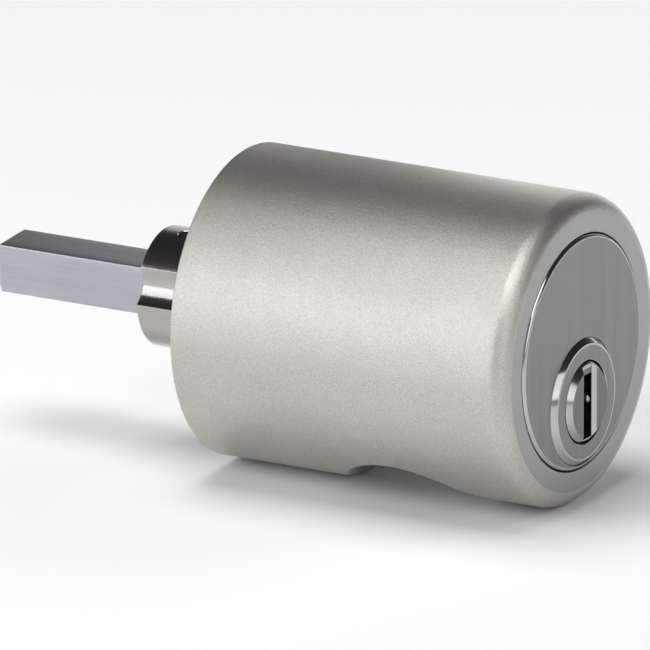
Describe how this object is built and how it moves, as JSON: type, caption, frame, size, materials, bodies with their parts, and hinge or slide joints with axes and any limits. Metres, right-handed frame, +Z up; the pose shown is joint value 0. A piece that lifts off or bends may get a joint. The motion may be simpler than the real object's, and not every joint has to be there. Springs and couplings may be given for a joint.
{
  "type": "lockable door knob with euro half cylinder",
  "caption": "Round free-running knob holding a euro-profile half cylinder; the key couples it to its hub and square spindle.",
  "frame": {"origin": "where the knob's axis crosses the plane of its rear rim", "axes": "+Y along the square spindle away from the knob, the key side looks to -Y, +Z up along the half cylinder's web"},
  "size_m": [0.05, 0.1057, 0.05],
  "materials": {
    "zinc_bar": "zinc-plated steel bar, fine drawn grain",
    "nickel_gloss": "bright nickel plate",
    "black_steel": "blackened steel screw",
    "hard_steel": "ground hardened steel",
    "spring_steel": "drawn spring wire",
    "nickel_blast": "bead-blasted satin nickel",
    "nickel_satin": "satin nickel with a polished edge",
    "brass": "turned brass",
    "plug_nickel": "nickel-plated brass",
    "bronze": "sintered bronze"
  },
  "bodies": {
    "spindle": {"square_bar": "zinc_bar", "hub": "nickel_gloss", "hub_grub_screw": "black_steel", "dog_ring": "hard_steel", "dog_ring_clip": "spring_steel"},
    "knob": {"knob_shell": "nickel_blast", "front_disk": "nickel_satin", "drill_collar": "nickel_satin", "cylinder_body": "brass", "cylinder_fixing_screw": "black_steel", "anti_drill_pins": "hard_steel", "driver_pins": "brass", "pin_springs": "spring_steel", "chamber_plugs": "brass", "back_plate": "nickel_satin", "back_plate_screws": "hard_steel", "bearing_bush": "bronze", "thrust_washer": "bronze", "rear_washer": "bronze", "bolt_spring": "spring_steel"},
    "plug": {"plug": "plug_nickel", "key_pins": "brass", "side_pins": "hard_steel", "snail_cam": "hard_steel", "cam_clip": "spring_steel"},
    "bolt": {"coupling_bolt": "hard_steel", "follower_pin": "hard_steel"}
  },
  "joints": [
    {"name": "knob_turn", "type": "hinge", "parent": "spindle", "child": "knob", "pos_m": [0, 0, 0], "axis": [0, 1, 0], "continuous": true},
    {"name": "plug_turn", "type": "hinge", "parent": "knob", "child": "plug", "pos_m": [0, 0, -0.008], "axis": [0, 1, 0], "range_deg": [0, 90]},
    {"name": "bolt_drop", "type": "slide", "parent": "knob", "child": "bolt", "axis": [0, 0, -1], "range_m": [0, 0.0022], "deforming": ["bolt_spring"]}
  ],
  "couplings": [
    {"joint": "plug_turn", "follows": "bolt_drop", "rad_per_m": 714}
  ]
}
